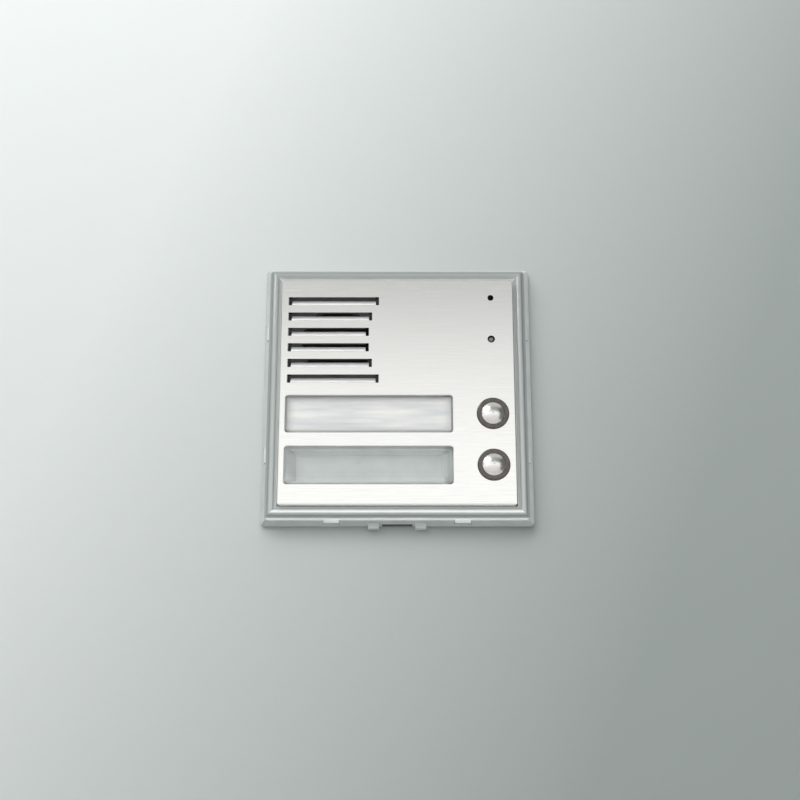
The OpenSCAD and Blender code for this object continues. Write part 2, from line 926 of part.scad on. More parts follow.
module window_pocket(z) {
  w = lens_w / 2 + fit;
  h = lens_h / 2 + lens_lip + fit;
  dish_x = dish_w + tray_wall + fit;
  dish_z = dish_h + tray_wall + fit;
  translate([window_x, 0, z]) {
    block(-w, w, y_plate - over, y_pocket, -h, h);
    block(-dish_x, dish_x, y_pocket - over, y_tray + tray_back + fit, -dish_z, dish_z);
  }
}

module button_bore(z) {
  rod(button_x, z, barrel_r + snug, y_plate - over, y_button);
  rod(button_x, z, plunger_r + slide, y_button - over, y_guide + over);
}

boot_front = 0.6;
boot_lip = 0.3;
y_mic = y_plate + boot_front + mic_t;

module microphone_pocket() {
  rod(lamp_x, mic_z, mic_r + snug, y_plate - over, y_mic);
  rod(lamp_x, mic_z, lead_pitch / 2 + lead_d / 2 + fit, y_mic - over, y_core + over);
}

lamp_r = lamp_d / 2;
lamp_rim_w = 0.4;
lamp_rim_r = lamp_r + lamp_rim_w;
spacer_w = 0.9;
spacer_r = lamp_r + spacer_w;
lamp_set = 0.3;
lamp_tip = y_front + lamp_set;
lamp_rim_in = 1.9;
lamp_rim = y_core - lamp_rim_in;
lamp_rim_t = 1;

module lamp_bore() {
  rod(lamp_x, lamp_z, lamp_r + slide, y_plate - over, y_core);
  rod(lamp_x, lamp_z, spacer_r + slide, lamp_rim, y_core + over);
}

// Hooks that hold the speaker's flange against its gasket
hook_w = 4;
post_t = 1.6;
lip_in = 1.2;

module speaker_hook(a) {
  translate([speaker_x, 0, speaker_z]) rotate([0, a, 0])
    translate([speaker_r + fit, 0, 0]) {
      block(0, post_t, y_core - bite, y_speaker + flange_t + post_t, -hook_w / 2, hook_w / 2);
      upright(-hook_w / 2, hook_w / 2)
        polygon([
          [bite, y_speaker + flange_t + snug],
          [-lip_in, y_speaker + flange_t + snug],
          [0, y_speaker + flange_t + post_t],
          [bite, y_speaker + flange_t + post_t]
        ]);
    }
}

module carrier() {
  color("slategray") difference() {
    union() {
      slab(y_plate, y_seat) rounded(plate_w - 2 * fit, plate_h - 2 * fit, plate_corner);
      slab(y_seat, y_core) rounded(skirt_w, skirt_h, skirt_corner);
      slab(y_seat, y_skirt) ring(skirt_w, skirt_h, skirt_corner, skirt_wall);
      for (p = screw_places)
        rod(p[0], p[1], boss_r, y_core - bite, board_y);
      for (z = [upper_z, lower_z])
        rod(button_x, z, plunger_r + slide + guide_wall, y_core - bite, y_guide);
      for (a = [-90, 30, 150])
        speaker_hook(a);
    }
    louvre_pocket();
    rod(speaker_x, speaker_z, sound_r, y_louvre - over, y_core + over);
    for (z = [upper_z, lower_z]) {
      window_pocket(z);
      button_bore(z);
    }
    microphone_pocket();
    lamp_bore();
    for (p = screw_places)
      rod(p[0], p[1], long_screw_d / 2 + snug, y_core + over, board_y + over);
  }
}

// Speaker

module dust_screen() {
  color("black") rod(speaker_x, speaker_z, screen_r, y_core, y_core + screen_t);
}

module speaker_gasket() {
  color("darkslategray") turned(speaker_x, speaker_z)
    translate([sound_r, y_core + screen_t]) square([screen_r - sound_r, foam_t]);
}

module speaker_basket() {
  neck = yoke_r + slide;
  color("gray") translate([0, y_speaker, 0]) difference() {
    turned(speaker_x, speaker_z)
      polygon([
        [speaker_r, 0],
        [speaker_r, flange_t],
        [sound_r + cone_edge + fit, flange_t],
        [neck + basket_t, basket_neck + flange_t],
        [neck + basket_t, basket_end],
        [neck, basket_end],
        [neck, basket_neck],
        [sound_r, cone_seat + cone_t],
        [sound_r + cone_edge, cone_seat + cone_t],
        [sound_r + cone_edge, 0]
      ]);
    for (a = [0 : 90 : 270])
      translate([speaker_x, 0, speaker_z]) rotate([0, a + 45, 0])
        block(neck + hole_edge, sound_r - hole_edge / 2, hole_edge / 2, basket_neck + hole_edge,
              -basket_hole / 2, basket_hole / 2);
  }
}

// Depth of the cone's front at a radius: flat edge, rolled surround, cone, domed middle
function cone_y(r) =
  r >= roll_out ? cone_seat
  : r >= roll_in ? cone_seat - roll_h * sin(180 * (r - roll_in) / (roll_out - roll_in))
  : r >= coil_r ? cone_seat + (coil_front - cone_t - cone_seat) * (roll_in - r) / (roll_in - coil_r)
  : coil_front - cone_t - cap_sag * (1 - pow(r / coil_r, 2));

function steps(a, b, n) = [for (i = [0 : n - 1]) a + (b - a) * i / n];

module speaker_cone() {
  radii = concat(
    steps(0, coil_r, 6),
    steps(coil_r, roll_in, 2),
    steps(roll_in, roll_out, 8),
    [roll_out, sound_r + cone_edge - slide]
  );
  n = len(radii);
  color("black") translate([0, y_speaker, 0]) turned(speaker_x, speaker_z)
    polygon(concat(
      [for (r = radii) [r, cone_y(r)]],
      [for (i = [n - 1 : -1 : 0]) [radii[i], cone_y(radii[i]) + cone_t]]
    ));
}

module speaker_voice_coil() {
  color("peru") turned(speaker_x, speaker_z)
    translate([coil_r - coil_t, y_speaker + coil_front]) square([coil_t, coil_back - coil_front]);
}

module speaker_pole_plate() {
  color("lightslategray")
    rod(speaker_x, speaker_z, pole_r, y_speaker + pole_front, y_speaker + pole_front + pole_t);
}

y_yoke_floor = y_speaker + speaker_depth - yoke_wall;

module speaker_magnet() {
  color("darkgray")
    rod(speaker_x, speaker_z, magnet_r, y_speaker + pole_front + pole_t, y_yoke_floor);
}

module speaker_yoke() {
  color("lightgray") difference() {
    rod(speaker_x, speaker_z, yoke_r, y_speaker + yoke_front, y_speaker + speaker_depth);
    rod(speaker_x, speaker_z, yoke_r - yoke_wall, y_speaker + yoke_front - over, y_yoke_floor);
  }
}

// Microphone and lamp

module leads(x, z, y0) {
  for (s = [-1, 1])
    rod(x + s * lead_pitch / 2, z, lead_d / 2, y0, board_y);
}

module microphone_boot() {
  color("black") difference() {
    rod(lamp_x, mic_z, mic_r, y_plate, y_mic);
    rod(lamp_x, mic_z, mic_d / 2, y_plate + boot_front, y_mic + over);
    rod(lamp_x, mic_z, mic_hole_d / 2 - boot_lip, y_plate - over, y_mic);
  }
}

module microphone_capsule() {
  color("silver") {
    rod(lamp_x, mic_z, mic_d / 2 - snug, y_plate + boot_front, y_mic);
    leads(lamp_x, mic_z, y_mic - bite);
  }
}

module status_lamp() {
  color("lightgray") {
    turned(lamp_x, lamp_z) {
      intersection() {
        translate([0, lamp_tip + lamp_r]) circle(lamp_r);
        translate([0, lamp_tip - over]) square([lamp_r + over, lamp_r + over]);
      }
      translate([0, lamp_tip + lamp_r]) square([lamp_r, lamp_rim - lamp_tip - lamp_r]);
      translate([0, lamp_rim]) square([lamp_rim_r, lamp_rim_t]);
    }
    leads(lamp_x, lamp_z, lamp_rim + lamp_rim_t - bite);
  }
}

module lamp_spacer() {
  color("dimgray") difference() {
    rod(lamp_x, lamp_z, spacer_r, lamp_rim + lamp_rim_t, board_y);
    for (s = [-1, 1])
      rod(lamp_x + s * lead_pitch / 2, lamp_z, lead_d / 2 + snug, y_plate, board_y + over);
  }
}

// Electronics

module circuit_board() {
  color("darkgreen") slab(board_y, y_board) difference() {
    rounded(board_w, board_h, board_corner);
    translate([speaker_x, speaker_z]) circle(yoke_r + yoke_room);
    for (p = screw_places)
      translate(p) circle(long_screw_d / 2 + 2 * fit);
  }
}

backlight_w = 3.5;
backlight_h = 2.8;
backlight_t = 1.9;
dimple_r = 1.1;
dimple_t = 0.5;

module backlight_lamps() {
  color("lightyellow") for (z = [upper_z, lower_z], s = [-1, 1]) {
    x = window_x + s * window_w / 4;
    y = board_y - backlight_t;
    difference() {
      block(x - backlight_w / 2, x + backlight_w / 2, y, board_y, z - backlight_h / 2, z + backlight_h / 2);
      rod(x, z, dimple_r, y - over, y + dimple_t);
    }
  }
}

function terminal_place(i) = terminal_x + (i - (terminal_count - 1) / 2) * terminal_pitch;
terminal_len = terminal_count * terminal_pitch;
well_r = 1.9;
well_deep = 4;
well_up = 1.2;
well_z = terminal_z + well_up;
slope_y = 4.2;
slope_z = 2.8;
entry_w = 3.6;
entry_y = 2.2;
entry_h = 3.4;
entry_wall = 2;
terminal_head = 2;
terminal_slot = 0.8;
y_terminal = y_board + terminal_h;

module terminal_block() {
  color("darkgray") difference() {
    strip(terminal_x - terminal_len / 2, terminal_x + terminal_len / 2)
      polygon([
        [y_board, terminal_z - terminal_w / 2],
        [y_terminal - slope_y, terminal_z - terminal_w / 2],
        [y_terminal, terminal_z - terminal_w / 2 + slope_z],
        [y_terminal, terminal_z + terminal_w / 2],
        [y_board, terminal_z + terminal_w / 2]
      ]);
    for (i = [0 : terminal_count - 1]) {
      x = terminal_place(i);
      block(x - entry_w / 2, x + entry_w / 2, y_board + entry_y, y_board + entry_y + entry_h,
            terminal_z - terminal_w / 2 - over, terminal_z + terminal_w / 2 - entry_wall);
      rod(x, well_z, well_r, y_terminal - well_deep, y_terminal + over);
    }
  }
}

module terminal_screws() {
  r = well_r - fit;
  y = y_terminal - well_deep;
  top = y + terminal_head;
  w = terminal_slot / 2;
  color("silver") for (i = [0 : terminal_count - 1]) {
    x = terminal_place(i);
    difference() {
      rod(x, well_z, r, y, top);
      block(x - r - over, x + r + over, top - terminal_slot, y_terminal, well_z - w, well_z + w);
    }
  }
}

disc_r = 3.4;
disc_up = 1.3;
disc_y = y_board + disc_up;
disc_t = 2.2;
driver_slot_w = 1;
driver_slot_t = 1.2;

module trimmer_body(z) {
  w = trimmer_w / 2;
  color("royalblue") difference() {
    block(trimmer_x - w, trimmer_x + w, y_board, y_board + trimmer_h, z - w, z + w);
    rod(trimmer_x, z, disc_r + slide, disc_y - slide, disc_y + disc_t + slide);
    rod(trimmer_x, z, shaft_d / 2 + slide, disc_y, y_board + trimmer_h + over);
  }
}

module trimmer_rotor(z) {
  color("white") difference() {
    union() {
      rod(trimmer_x, z, disc_r, disc_y, disc_y + disc_t);
      rod(trimmer_x, z, shaft_d / 2, disc_y, housing_depth);
    }
    block(trimmer_x - shaft_d, trimmer_x + shaft_d, housing_depth - driver_slot_t, housing_depth + over,
          z - driver_slot_w / 2, z + driver_slot_w / 2);
  }
}

capacitor_edge = 0.4;
crimp_y = 2;

module capacitors() {
  r = capacitor_d / 2;
  in = r - capacitor_edge;
  top = y_board + capacitor_h;
  color("navy") for (p = capacitor_places)
    turned(p[0], p[1])
      polygon([
        [0, y_board],
        [in, y_board],
        [r, y_board + capacitor_edge],
        [r, y_board + crimp_y - capacitor_edge],
        [in, y_board + crimp_y],
        [r, y_board + crimp_y + capacitor_edge],
        [r, top - capacitor_edge],
        [in, top],
        [0, top]
      ]);
}

chip_x = 32;
chip_z = 12;
chip_len = 9.8;
chip_w = 6.4;
chip_t = 3.3;
chip_up = 0.5;
chip_mark_r = 0.9;
chip_legs = 4;
leg_pitch = 2.54;
leg_w = 1.2;
leg_t = 0.3;
leg_out = 1.1;
leg_up = 2.2;

module amplifier_chip() {
  y = y_board + chip_up;
  w = chip_w / 2;
  color("black") {
    difference() {
      block(chip_x - w, chip_x + w, y, y + chip_t, chip_z - chip_len / 2, chip_z + chip_len / 2);
      rod(chip_x, chip_z + chip_len / 2, chip_mark_r, y + chip_t - bite, y + chip_t + over);
    }
    for (i = [0 : chip_legs - 1], s = [0, 1]) {
      z = chip_z + (i - (chip_legs - 1) / 2) * leg_pitch;
      translate([chip_x, y_board, z]) mirror([s, 0, 0]) {
        block(w - bite, w + leg_out, leg_up - leg_t, leg_up, -leg_w / 2, leg_w / 2);
        block(w + leg_out - leg_t, w + leg_out, 0, leg_up, -leg_w / 4, leg_w / 4);
      }
    }
  }
}

// Rear cover

module cover_form(inset, back, low_back, low_z) {
  difference() {
    slab(y_seat, back)
      rounded(housing_w - 2 * inset, housing_h - 2 * inset, housing_corner - inset);
    block(-housing_w, housing_w, low_back, back + over, -housing_h, low_z);
  }
}

// A tongue is cut free on three sides and carries a hook with a leading ramp
tongue_gap = 1;

module tongue_cuts(s, z) {
  x0 = housing_w / 2 - housing_wall - over;
  x1 = housing_w / 2 + over;
  y0 = y_frame;
  w = tongue_w / 2;
  mirror([s < 0 ? 1 : 0, 0, 0]) {
    block(x0, x1, y0, y0 + tongue_gap, z - w - tongue_gap, z + w + tongue_gap);
    for (side = [z - w - tongue_gap, z + w])
      block(x0, x1, y0, y0 + tongue_len, side, side + tongue_gap);
  }
}

hook_land = 0.8;
hook_ramp = 4.5;

module tongue_hook(s, z) {
  x = housing_w / 2;
  y0 = hook_y + fit;
  mirror([s < 0 ? 1 : 0, 0, 0])
    upright(z - tongue_w / 2, z + tongue_w / 2)
      polygon([
        [x - bite, y0],
        [x + hook_out, y0],
        [x + hook_out, y0 + hook_land],
        [x, y0 + hook_ramp],
        [x - bite, y0 + hook_ramp]
      ]);
}

head_sunk = 1.4;
y_head = housing_depth - long_head_t - head_sunk;
vent_step = 2.4;
shaft_room = 0.6;

module vents() {
  for (i = [0 : vent_count - 1]) {
    z = speaker_z + (i - (vent_count - 1) / 2) * vent_step * vent_h;
    block(speaker_x - vent_w / 2, speaker_x + vent_w / 2, y_back - over, housing_depth + over,
          z - vent_h / 2, z + vent_h / 2);
  }
}

module rear_cover() {
  color("slategray") difference() {
    union() {
      difference() {
        cover_form(0, housing_depth, step_y, step_z);
        slab(y_seat - over, y_seat + over)
          rounded(housing_w - 2 * housing_wall, housing_h - 2 * housing_wall, housing_corner - housing_wall);
        cover_form(housing_wall, y_back, step_y - back_t, step_z + housing_wall);
      }
      for (p = screw_places)
        rod(p[0], p[1], tube_r, y_board, housing_depth);
      for (s = [-1, 1], e = [-1, 1])
        tongue_hook(s, e * tongue_place);
    }
    for (p = screw_places) {
      rod(p[0], p[1], long_screw_d / 2 + fit, y_board - over, housing_depth + over);
      rod(p[0], p[1], long_head_d / 2 + fit, y_head, housing_depth + over);
    }
    for (s = [-1, 1], e = [-1, 1])
      tongue_cuts(s, e * tongue_place);
    for (z = [trimmer_top, trimmer_top - trimmer_pitch])
      rod(trimmer_x, z, shaft_d / 2 + shaft_room, y_back - over, housing_depth + over);
    block(terminal_x - terminal_len / 2 - fit, terminal_x + terminal_len / 2 + fit, step_y - back_t - over,
          step_y + over, terminal_z - terminal_w / 2 - fit, terminal_z + terminal_w / 2 + fit);
    vents();
  }
}

cross_w = 0.8;
cross_len = 3.6;
cross_t = 1;

module housing_screws() {
  color("silver") for (p = screw_places)
    difference() {
      union() {
        rod(p[0], p[1], long_screw_d / 2, y_core + 2 * over, y_head);
        rod(p[0], p[1], long_head_d / 2, y_head, y_head + long_head_t);
      }
      for (a = [0, 90])
        translate([p[0], y_head + long_head_t, p[1]]) rotate([0, a, 0])
          cube([cross_len, 2 * cross_t, cross_w], center = true);
    }
}

fixing_frame();
wall_gasket();
bezel();
module_seal();
front_plate();
carrier();
louvre_grille();
dust_screen();
speaker_gasket();
speaker_basket();
speaker_cone();
speaker_voice_coil();
speaker_magnet();
speaker_pole_plate();
speaker_yoke();
microphone_boot();
microphone_capsule();
status_lamp();
lamp_spacer();
name_window(upper_z);  // name_window_upper
name_window(lower_z);  // name_window_lower
name_card(upper_z);  // name_card_upper
card_tray(upper_z);  // card_tray_upper
card_tray(lower_z);  // card_tray_lower
backlight_lamps();
button_collar(upper_z);  // button_collar_upper
button_collar(lower_z);  // button_collar_lower
button_cap(upper_z);  // button_cap_upper
button_cap(lower_z);  // button_cap_lower
button_plunger(upper_z);  // button_plunger_upper
button_plunger(lower_z);  // button_plunger_lower
button_spring(upper_z);  // button_spring_upper
button_spring(lower_z);  // button_spring_lower
switch_body(upper_z);  // switch_body_upper
switch_body(lower_z);  // switch_body_lower
switch_actuator(upper_z);  // switch_actuator_upper
switch_actuator(lower_z);  // switch_actuator_lower
circuit_board();
terminal_block();
terminal_screws();
trimmer_body(trimmer_top);  // volume_trimmer_body
trimmer_rotor(trimmer_top);  // volume_trimmer_rotor
trimmer_body(trimmer_top - trimmer_pitch);  // microphone_trimmer_body
trimmer_rotor(trimmer_top - trimmer_pitch);  // microphone_trimmer_rotor
capacitors();
amplifier_chip();
rear_cover();
housing_screws();
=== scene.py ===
"""A flush door intercom panel: finishes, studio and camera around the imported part.

Everything is in metres, in the part's own frame: X to the right, Z up, and the front looks along -Y.
"""

import json
import math

import bmesh
import bpy
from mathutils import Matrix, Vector


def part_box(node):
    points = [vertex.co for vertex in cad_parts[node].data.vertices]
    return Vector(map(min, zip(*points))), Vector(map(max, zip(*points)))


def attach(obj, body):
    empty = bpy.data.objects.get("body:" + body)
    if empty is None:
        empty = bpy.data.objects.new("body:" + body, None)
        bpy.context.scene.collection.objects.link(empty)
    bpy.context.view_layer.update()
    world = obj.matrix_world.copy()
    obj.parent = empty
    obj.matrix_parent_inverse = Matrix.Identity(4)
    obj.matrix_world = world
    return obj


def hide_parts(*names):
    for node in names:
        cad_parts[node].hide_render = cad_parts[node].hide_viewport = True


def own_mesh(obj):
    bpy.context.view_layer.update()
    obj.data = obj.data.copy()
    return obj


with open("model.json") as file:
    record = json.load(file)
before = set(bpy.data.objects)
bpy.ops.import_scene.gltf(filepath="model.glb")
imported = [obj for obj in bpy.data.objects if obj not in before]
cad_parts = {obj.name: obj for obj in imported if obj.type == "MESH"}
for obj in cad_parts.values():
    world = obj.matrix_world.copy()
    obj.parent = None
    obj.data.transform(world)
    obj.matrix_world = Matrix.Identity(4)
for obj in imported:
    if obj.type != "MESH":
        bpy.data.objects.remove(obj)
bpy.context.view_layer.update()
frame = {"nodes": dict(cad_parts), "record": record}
nodes = frame["nodes"]
scene = bpy.context.scene

# The imported materials make way for the finishes, which take the names of the record's slots
for imported in list(bpy.data.materials):
    bpy.data.materials.remove(imported)

MM = 0.001


def shade(red, green, blue):
    """A colour as a screen shows it, 0 to 255 a channel, in the linear values that shaders take."""
    def linear(value):
        value /= 255
        return value / 12.92 if value <= 0.04045 else ((value + 0.055) / 1.055) ** 2.4
    return linear(red), linear(green), linear(blue)


# Node trees

NOISE_LOW, NOISE_HIGH = 0.3, 0.7  # most values of a noise texture lie between these
WAVE_PERIOD = math.pi / 10  # distance between the ribs of a wave texture at a scale of 1
RING_WOBBLE = 0.4
MITRE = 0.1 * MM  # half the width over which one side's look gives way to the next at a corner


class Shading:
    """A node tree and short ways to build it."""

    def __init__(self, tree, output="Material Output"):
        self.tree = tree
        self.surface = tree.nodes[output].inputs["Surface"]
        coordinates = self.add("ShaderNodeTexCoord").outputs
        self.place = coordinates["Object"]
        self.within = coordinates["Generated"]  # 0 to 1 across the piece's box

    def add(self, kind, **settings):
        node = self.tree.nodes.new(kind)
        for key, value in settings.items():
            setattr(node, key, value)
        return node

    def link(self, source, target):
        self.tree.links.new(source, target)

    def split(self, vector):
        """The X, Y and Z of a vector."""
        node = self.add("ShaderNodeSeparateXYZ")
        self.link(vector, node.inputs[0])
        return node.outputs

    def math(self, operation, *terms):
        """The result of an operation on sockets or plain numbers."""
        node = self.add("ShaderNodeMath", operation=operation)
        for socket, term in zip(node.inputs, terms):
            if isinstance(term, (int, float)):
                socket.default_value = term
            else:
                self.link(term, socket)
        return node.outputs[0]

    def between(self, source, low, high, start=NOISE_LOW, end=NOISE_HIGH):
        """A number that goes from low to high as the source goes from start to end."""
        node = self.add("ShaderNodeMapRange")
        for socket, value in zip(("From Min", "From Max", "To Min", "To Max"), (start, end, low, high)):
            node.inputs[socket].default_value = value
        self.link(source, node.inputs["Value"])
        return node.outputs[0]

    def rise(self, source, start, end):
        """0 where the source is under start, and 1 where it is over end."""
        return self.between(source, 0, 1, start, end)

    def fall(self, source, start, end):
        """1 where the source is under start, and 0 where it is over end."""
        return self.between(source, 1, 0, start, end)

    def steps(self, source, stops):
        """A colour that runs through a list of (position, colour)."""
        node = self.add("ShaderNodeValToRGB")
        elements = node.color_ramp.elements
        while len(elements) < len(stops):
            elements.new(0.5)
        for element, (at, color) in zip(elements, stops):
            element.position = at
            element.color = (*color, 1)
        self.link(source, node.inputs[0])
        return node.outputs[0]

    def tint(self, source, first, second, start=NOISE_LOW, end=NOISE_HIGH):
        """A colour that goes from first to second as the source goes from start to end."""
        return self.steps(source, [(start, first), (end, second)])

    def mixed(self, factor, first, second):
        """The first colour where the factor is 0, and the second where it is 1."""
        node = self.add("ShaderNodeMix", data_type="RGBA")
        self.link(factor, node.inputs["Factor"])
        for name, source in (("A", first), ("B", second)):
            self.link(source, next(s for s in node.inputs if s.name == name and s.type == "RGBA"))
        return next(s for s in node.outputs if s.type == "RGBA")

    def seen(self):
        """1 for rays from the camera and those that show in metal and glass, 0 for the light itself."""
        rays = self.add("ShaderNodeLightPath").outputs
        mirrored = self.math("MAXIMUM", rays["Is Glossy Ray"], rays["Is Transmission Ray"])
        return self.math("MAXIMUM", rays["Is Camera Ray"], mirrored)

    def show(self, factor, first, second):
        """Put out the first shader where the factor is 0, and the second where it is 1."""
        node = self.add("ShaderNodeMixShader")
        for socket, source in zip(node.inputs, (factor, first.outputs[0], second.outputs[0])):
            self.link(source, socket)
        self.link(node.outputs[0], self.surface)


def new_material(name):
    material = bpy.data.materials.new(name)
    material.use_nodes = True
    return material


class Finish(Shading):
    """One procedural material: a Principled shader and the textures that feed it."""

    def __init__(self, name, color, roughness, **sockets):
        self.material = new_material(name)
        super().__init__(self.material.node_tree)
        self.shader = self.tree.nodes["Principled BSDF"]
        self.ground = None  # the colour that others are mixed into, where there is one
        self.last_bump = None
        self.set("Base Color", (*color, 1))
        self.set("Roughness", roughness)
        for socket, value in sockets.items():
            self.set(socket.replace("_", " "), value)

    def set(self, socket, value):
        self.shader.inputs[socket].default_value = value

    def feed(self, socket, source):
        self.link(source, self.shader.inputs[socket])

    def scatter(self, weight, radius, scale):
        """Let a share of the light into the piece, to come out about scale metres away."""
        self.set("Subsurface Weight", weight)
        self.set("Subsurface Radius", radius)
        self.set("Subsurface Scale", scale)

    def moved(self, source, location=(0, 0, 0), stretch=(1, 1, 1)):
        """Coordinates shifted by -location and drawn out by stretch."""
        node = self.add("ShaderNodeMapping", vector_type="TEXTURE")
        node.inputs["Location"].default_value = location
        node.inputs["Scale"].default_value = stretch
        self.link(source, node.inputs["Vector"])
        return node.outputs[0]

    def from_middle(self):
        """Coordinates from -0.5 to 0.5 across the piece's box."""
        return self.moved(self.within, (0.5, 0.5, 0.5))

    def noise(self, size, detail, stretch=(1, 1, 1)):
        """Noise with blotches about size metres across."""
        node = self.add("ShaderNodeTexNoise")
        node.inputs["Scale"].default_value = 1 / size
        node.inputs["Detail"].default_value = detail
        self.link(self.moved(self.place, stretch=stretch), node.inputs["Vector"])
        return node.outputs[0]

    def cells(self, size):
        """Pores about size metres across."""
        node = self.add("ShaderNodeTexVoronoi", feature="F1")
        node.inputs["Scale"].default_value = 1 / size
        self.link(self.place, node.inputs["Vector"])
        return node.outputs[0]

    def bands(self, pitch, direction):
        """Evenly spaced ribs along a direction, pitch metres apart."""
        node = self.add("ShaderNodeTexWave", wave_type="BANDS", bands_direction=direction)
        node.inputs["Scale"].default_value = WAVE_PERIOD / pitch
        self.link(self.place, node.inputs["Vector"])
        return node.outputs[1]

    def rings(self, count):
        """Turning marks about the Y line through the middle of the piece."""
        node = self.add("ShaderNodeTexWave", wave_type="RINGS", rings_direction="Y")
        node.inputs["Scale"].default_value = count * WAVE_PERIOD
        node.inputs["Distortion"].default_value = RING_WOBBLE
        self.link(self.from_middle(), node.inputs["Vector"])
        return node.outputs[1]

    def outwards(self):
        """How far a point is from the middle along X or Z, whichever is more, and if that is up or down."""
        place = self.split(self.place)
        aside, upright = (self.math("ABSOLUTE", place[axis]) for axis in "XZ")
        above = self.rise(self.math("SUBTRACT", place["Z"], aside), -MITRE, MITRE)
        below = self.fall(self.math("ADD", place["Z"], aside), -MITRE, MITRE)
        return self.math("MAXIMUM", aside, upright), above, below

    def bump(self, height, depth):
        """Relief of a depth in metres, on top of what is there."""
        node = self.add("ShaderNodeBump")
        node.inputs["Strength"].default_value = 1
        node.inputs["Distance"].default_value = depth
        self.link(height, node.inputs["Height"])
        if self.last_bump is not None:
            self.link(self.last_bump, node.inputs["Normal"])
        self.last_bump = node.outputs[0]
        self.feed("Normal", self.last_bump)

    def cloudy(self, size, color, by, stretch=(1, 1, 1)):
        """A colour that changes in blotches, a share of by lighter and darker."""
        dark = [c * (1 - by) for c in color]
        light = [min(c * (1 + by), 1) for c in color]
        return self.tint(self.noise(size, 5, stretch), dark, light)


# Finishes, one for each material slot of the record. A pair of numbers says from where to where a look fades

PLATE_HALF = 50 * MM
PLATE_RIM = (PLATE_HALF - 1.1 * MM, PLATE_HALF - 1 * MM)
PLATE_LOW = (-1 * MM, 1 * MM)
CUT_FACING = (0.2, 0.5)  # share of a face's normal that is along Y
# Painted shade on the cut edges inside the slots and the holes above the middle
SLOT_EDGE_SHADE = shade(60, 61, 62)


def satin_aluminium():
    """Finely brushed plate: cut edges are dull outside and in the windows, and carry painted shade in slots and
    holes above.
    """
    color = shade(233, 233, 230)
    finish = Finish("satin_aluminium", color, 0.22, Metallic=1.0)
    streaks = finish.noise(0.25 * MM, 4, (40, 1, 1))
    finish.feed("Roughness", finish.between(streaks, 0.18, 0.28))
    finish.bump(streaks, 0.002 * MM)
    finish.bump(finish.noise(0.12 * MM, 2), 0.0015 * MM)
    facing = finish.split(finish.add("ShaderNodeNewGeometry").outputs["True Normal"])
    cut = finish.fall(finish.math("ABSOLUTE", facing["Y"]), *CUT_FACING)
    outwards, _, _ = finish.outwards()
    outer = finish.rise(outwards, *PLATE_RIM)
    low = finish.fall(finish.split(finish.place)["Z"], *PLATE_LOW)
    dull = finish.math("MULTIPLY", cut, finish.math("MAXIMUM", outer, low))
    finish.feed("Metallic", finish.fall(dull, 0, 1))
    # Painted shade: the cut edges that are not dull are painted dark
    dark = finish.math("SUBTRACT", cut, dull)
    brushed = finish.cloudy(0.5 * MM, color, 0.02, (60, 1, 1))
    finish.feed("Base Color", finish.mixed(dark, brushed, finish.cloudy(0.5 * MM, SLOT_EDGE_SHADE, 0.1)))
    return finish


# Painted light and shade across the bezel, each tone at its distance from the plate's edge in mm: painted light
# on the inner wall, the top's groove, the tabs and the lower ridge and outer face, and painted shade in the
# crease
BEZEL_SPAN = 8
BEZEL_SIDES_LIGHT_AND_SHADE = [
    (0.42, (238, 242, 240)), (0.6, (176, 181, 179)), (1.6, (172, 177, 175)), (2.3, (186, 190, 188)),
    (3.4, (186, 190, 188)), (4.2, (142, 147, 145)), (4.9, (164, 169, 167)), (5.4, (170, 175, 173)),
    (5.6, (226, 229, 227)),
]
BEZEL_TOP_LIGHT_AND_SHADE = [
    (0.4, (226, 230, 228)), (1.5, (222, 226, 224)), (2.2, (180, 184, 182)), (3.4, (170, 174, 172)),
    (4.2, (146, 151, 149)), (4.9, (164, 169, 167)), (5.4, (170, 175, 173)), (5.6, (226, 229, 227)),
]
BEZEL_LOW_LIGHT_AND_SHADE = [
    (0.3, (176, 181, 179)), (1.5, (176, 181, 179)), (1.8, (250, 252, 251)), (2.9, (250, 252, 251)),
    (3.3, (168, 173, 171)), (4.2, (128, 133, 131)), (4.9, (164, 169, 167)), (5.35, (250, 252, 251)),
    (5.52, (250, 252, 251)), (5.62, (218, 222, 220)),
]
BEZEL_WANDER = 0.007  # how far the tones wander, as a share of the span


def smoky_plastic():
    """See-through grey with painted light and shade: painted highlights along the ridge and tabs, brightest on
    the lower ridge, and painted shade in the crease.
    """
    finish = Finish("trim_grey", shade(160, 165, 163), 0.12, IOR=1.55, Coat_Weight=0.6, Coat_Roughness=0.05)
    finish.scatter(0.25, (1, 1.1, 1.05), 0.8 * MM)
    outwards, above, below = finish.outwards()
    across = finish.rise(outwards, PLATE_HALF, PLATE_HALF + BEZEL_SPAN * MM)
    wander = finish.between(finish.noise(9 * MM, 5), -BEZEL_WANDER, BEZEL_WANDER)
    at = finish.math("ADD", across, wander)
    # Painted light and shade: the sides, the top and the lower side each get their own tones
    sides, top, low = (
        finish.steps(at, [(distance / BEZEL_SPAN, shade(*tone)) for distance, tone in tones])
        for tones in (BEZEL_SIDES_LIGHT_AND_SHADE, BEZEL_TOP_LIGHT_AND_SHADE, BEZEL_LOW_LIGHT_AND_SHADE)
    )
    finish.feed("Base Color", finish.mixed(below, finish.mixed(above, sides, top), low))
    finish.feed("Roughness", finish.between(finish.noise(3 * MM, 4), 0.08, 0.2))
    finish.bump(finish.noise(1.5 * MM, 2), 0.004 * MM)
    return finish


def clouded(finish, color):
    """A colour with the slight cloudiness of moulded plastic."""
    return finish.cloudy(6 * MM, color, 0.05)


